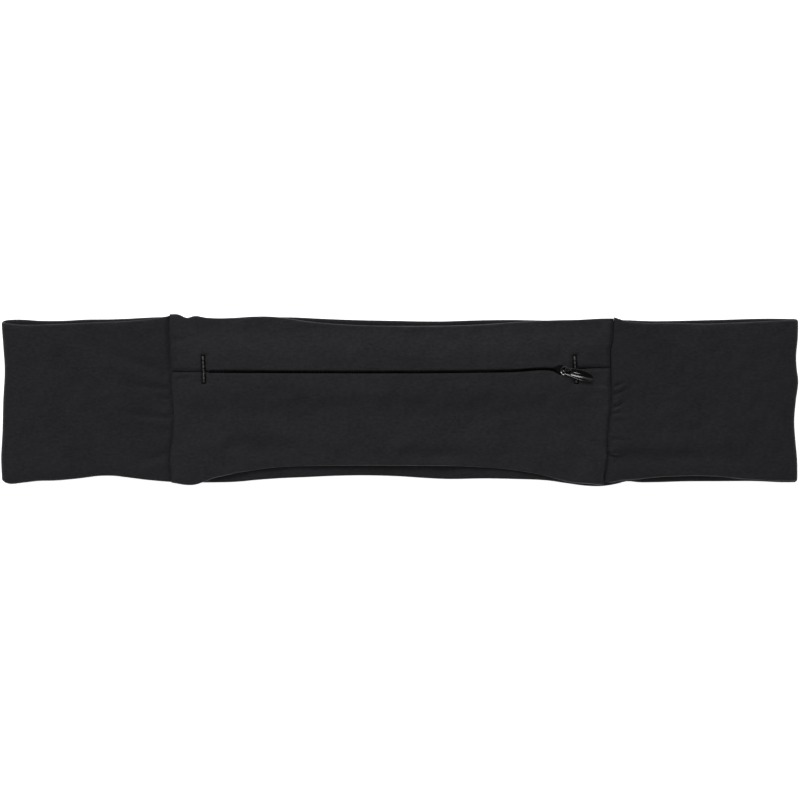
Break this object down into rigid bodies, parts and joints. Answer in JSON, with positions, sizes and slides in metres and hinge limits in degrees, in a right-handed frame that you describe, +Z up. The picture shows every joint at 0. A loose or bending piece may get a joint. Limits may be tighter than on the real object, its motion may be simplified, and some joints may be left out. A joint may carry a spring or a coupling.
{
  "type": "money belt",
  "caption": "Stretch-fabric tubular waist belt laid flat, with a zipped front pocket, bartacks, side seams and a slider with a teardrop pull tab.",
  "frame": {"origin": "centre of the flattened belt, on the face it rests on", "axes": "+X along the belt towards the closed zip's slider, +Y across it towards the edge the zip is nearer to, +Z up through the layers, from the back of the loop to the pocket panel"},
  "size_m": [0.383, 0.0816, 0.0102],
  "materials": {
    "band_fabric": "matte",
    "panel_fabric": "matte",
    "seam_fabric": "matte",
    "zip_tape": "matte",
    "zip_coil": "satin",
    "thread": "satin",
    "label_satin": "satin",
    "black_metal": "satin",
    "gloss_metal": "gloss"
  },
  "bodies": {
    "back": {"band_back": "band_fabric"},
    "right_back": {"band_right_back": "band_fabric"},
    "right_front": {"band_right_front": "band_fabric"},
    "front": {"band_front_strip": "band_fabric", "front_panel_upper": "panel_fabric", "front_panel_lower": "panel_fabric", "panel_hem_upper": "panel_fabric", "panel_hem_lower": "panel_fabric", "pocket_backing": "panel_fabric", "side_seam_left": "seam_fabric", "side_seam_right": "seam_fabric", "zip_tape_upper": "zip_tape", "zip_tape_lower": "zip_tape", "zip_coil_upper": "zip_coil", "zip_coil_lower": "zip_coil", "zip_bottom_stop": "black_metal", "zip_top_stops": "black_metal", "zip_stitching": "thread", "bartack_left": "thread", "bartack_right": "thread", "care_label": "label_satin"},
    "left_back": {"band_left_back": "band_fabric"},
    "left_front": {"band_left_front": "band_fabric"},
    "slider": {"slider_body": "black_metal", "slider_bail": "black_metal"},
    "puller": {"pull_tab": "gloss_metal"}
  },
  "joints": [
    {"name": "loop_open", "type": "hinge", "parent": "back", "child": "right_back", "pos_m": [0.1096, 0, 0.002], "axis": [0, -1, 0], "range_deg": [0, 80]},
    {"name": "right_fold", "type": "hinge", "parent": "right_back", "child": "right_front", "pos_m": [0.1893, 0, 0.0022], "axis": [0, 1, 0], "range_deg": [0, 160]},
    {"name": "right_bend", "type": "hinge", "parent": "right_front", "child": "front", "pos_m": [0.1096, 0, 0.0024], "axis": [0, -1, 0], "range_deg": [0, 80]},
    {"name": "left_bend", "type": "hinge", "parent": "back", "child": "left_back", "pos_m": [-0.1096, 0, 0.002], "axis": [0, 1, 0], "range_deg": [0, 80]},
    {"name": "left_fold", "type": "hinge", "parent": "left_back", "child": "left_front", "pos_m": [-0.1893, 0, 0.0022], "axis": [0, -1, 0], "range_deg": [0, 160]},
    {"name": "zip_slide", "type": "slide", "parent": "front", "child": "slider", "axis": [-1, 0, 0], "range_m": [0, 0.165], "deforming": ["zip_coil_upper", "zip_coil_lower"]},
    {"name": "pull_swing", "type": "hinge", "parent": "slider", "child": "puller", "pos_m": [0.0793, 0.014, 0.00875], "axis": [-0.2588, -0.9659, 0], "range_deg": [0, 175]}
  ],
  "couplings": [
    {"joint": "right_fold", "follows": "loop_open", "ratio": 2},
    {"joint": "right_bend", "follows": "loop_open", "ratio": 1},
    {"joint": "left_bend", "follows": "loop_open", "ratio": 1},
    {"joint": "left_fold", "follows": "loop_open", "ratio": 2}
  ]
}
